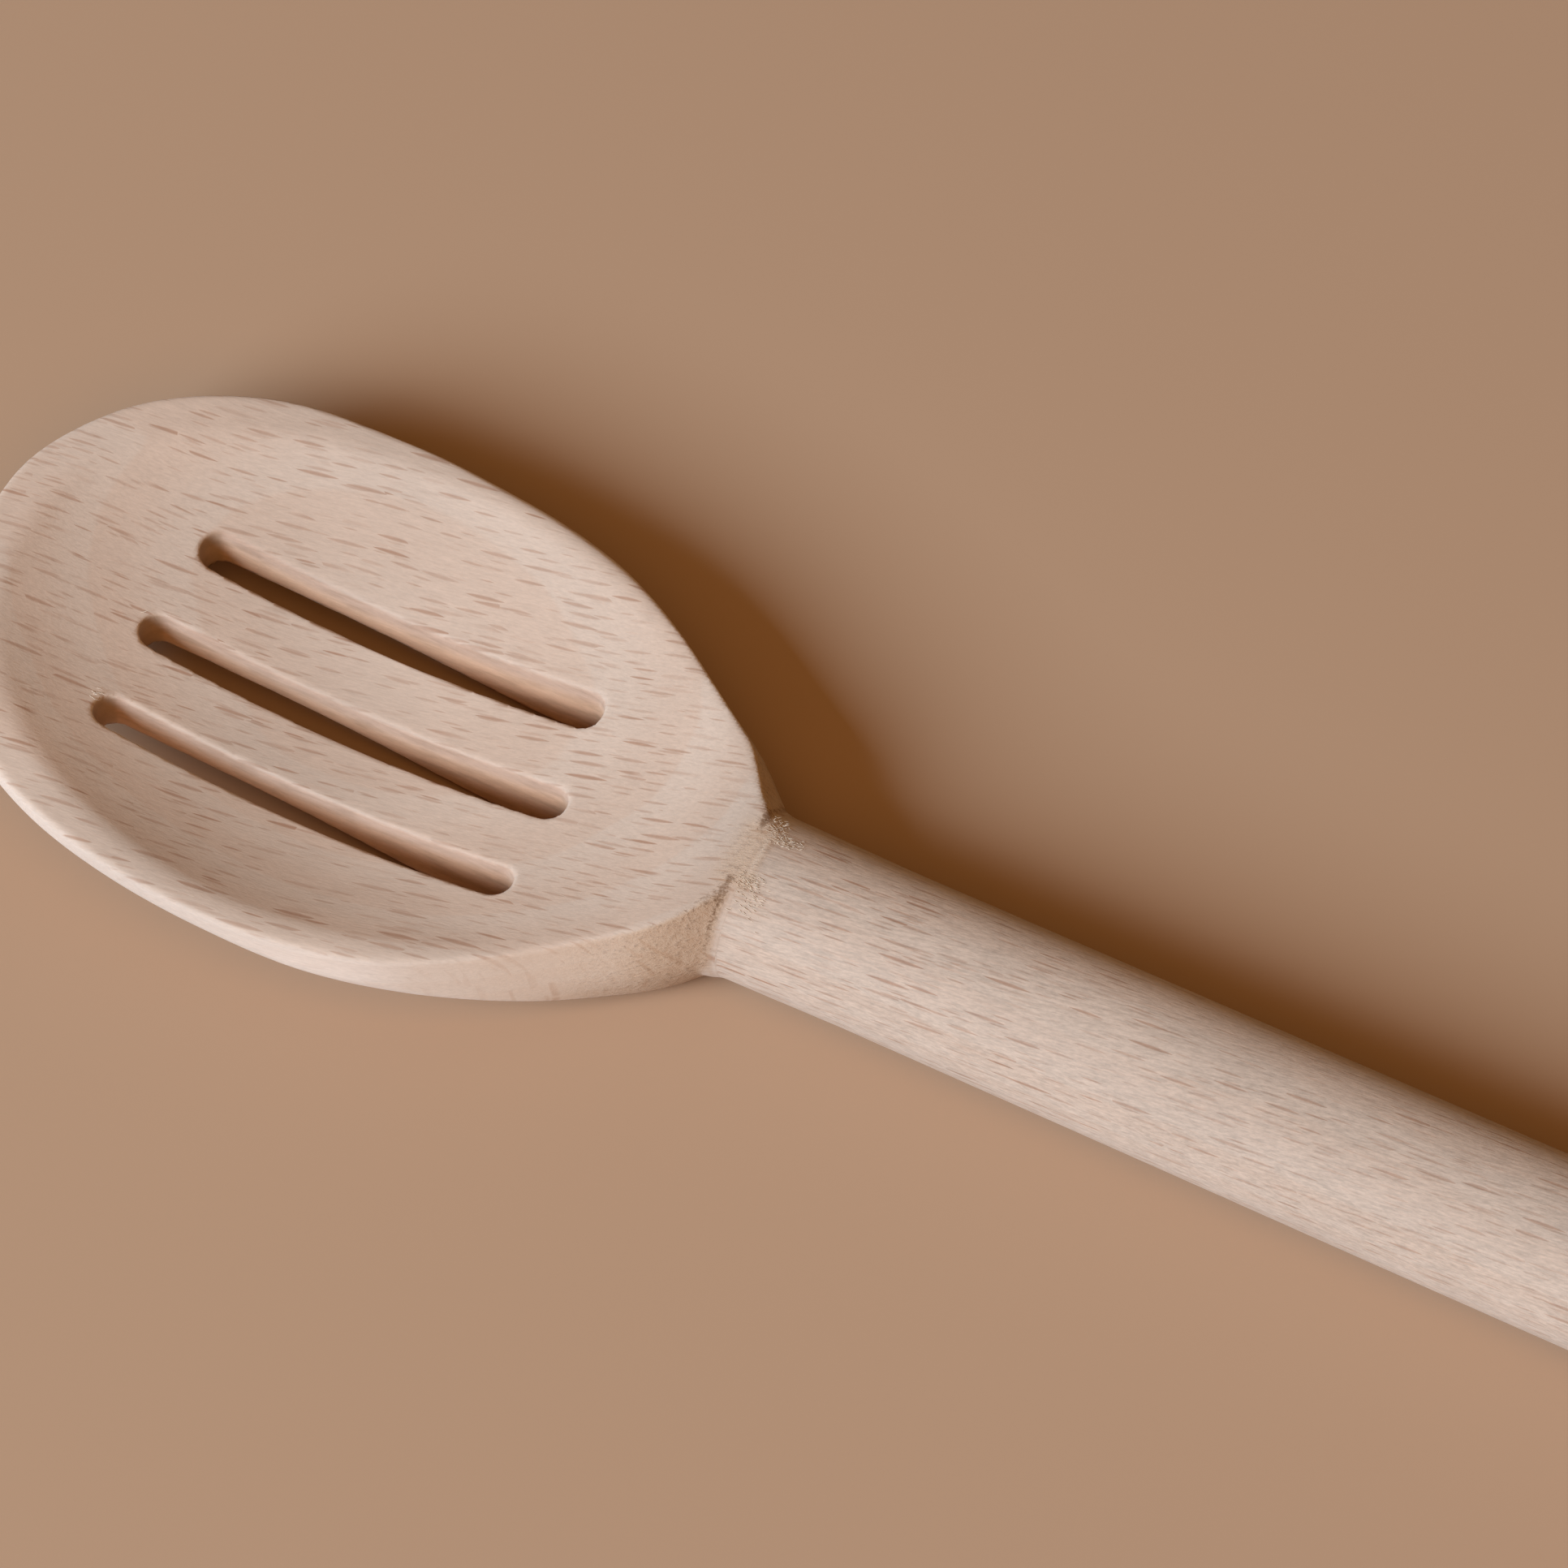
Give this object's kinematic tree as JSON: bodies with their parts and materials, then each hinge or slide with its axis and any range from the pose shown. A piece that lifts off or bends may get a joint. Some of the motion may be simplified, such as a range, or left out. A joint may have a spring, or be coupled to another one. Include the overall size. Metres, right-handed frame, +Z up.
{
  "type": "wooden spoon",
  "caption": "Slotted wooden spoon: shallow egg-shaped bowl with long draining slots on a round straight handle, cut from one blank.",
  "frame": {"origin": "middle of the spoon's box, on the plane that the spoon lies on", "axes": "+X along the handle, away from the bowl; +Y across; +Z up out of the bowl's hollow"},
  "size_m": [0.3, 0.0618, 0.0182],
  "materials": {
    "beech": "bare sanded beech, no oil or varnish"
  },
  "bodies": {
    "root": {"spoon": "beech"}
  },
  "joints": []
}
